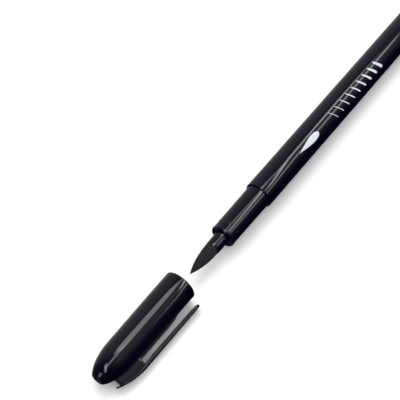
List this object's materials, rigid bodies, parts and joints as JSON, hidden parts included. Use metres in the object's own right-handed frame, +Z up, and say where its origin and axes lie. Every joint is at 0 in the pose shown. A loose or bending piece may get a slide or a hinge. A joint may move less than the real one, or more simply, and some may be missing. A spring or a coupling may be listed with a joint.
{
  "type": "brush pen",
  "caption": "Slim round gloss black brush pen with a tapered dark brush, and its domed slip-on cap with a pocket clip lying off in line ahead of the brush.",
  "frame": {"origin": "on the pen's axis, half way along the barrel tube", "axes": "+X runs along the pen from the brush to the end plug, +Z is up with the pen lying down, and the clip lies low on the -Y side"},
  "size_m": [0.1941, 0.0152, 0.0118],
  "materials": {
    "gloss_black": "polished moulded black with a faint blue cast",
    "brush_fibre": "matt, ink-stained fibre",
    "natural_plastic": "plain moulded, slightly milky",
    "liner_plastic": "dark soft moulded plastic",
    "feed_fibre": "bonded fibre, ink-wet",
    "ink_fibre": "soft fibre bundle, soaked in black ink",
    "clear_film": "thin clear film"
  },
  "bodies": {
    "pen": {"barrel": "gloss_black", "end_plug": "gloss_black", "section": "gloss_black", "nose_cone": "gloss_black", "nib_collar": "natural_plastic", "brush_root": "brush_fibre", "feed_rod": "feed_fibre", "ink_reservoir": "ink_fibre", "reservoir_film": "clear_film", "breather_tube": "natural_plastic"},
    "brush": {"brush_tip": "brush_fibre"},
    "cap": {"cap_shell": "gloss_black", "cap_liner": "liner_plastic", "clip_root": "gloss_black"},
    "clip": {"clip_arm": "gloss_black"}
  },
  "joints": [
    {"name": "cap_slide", "type": "slide", "parent": "pen", "child": "cap", "axis": [1, 0, 0], "range_m": [0, 0.0444]},
    {"name": "clip_flex", "type": "hinge", "parent": "cap", "child": "clip", "pos_m": [-0.1231, -0.00787, -0.00404], "axis": [0, 0.4571, -0.8894], "range_deg": [0, 6], "stiffness_Nm_per_rad": 0.5},
    {"name": "brush_flex", "type": "hinge", "parent": "pen", "child": "brush", "pos_m": [-0.07953, 0, 0], "axis": [0, 1, 0], "range_deg": [-12, 12], "stiffness_Nm_per_rad": 0.003}
  ]
}
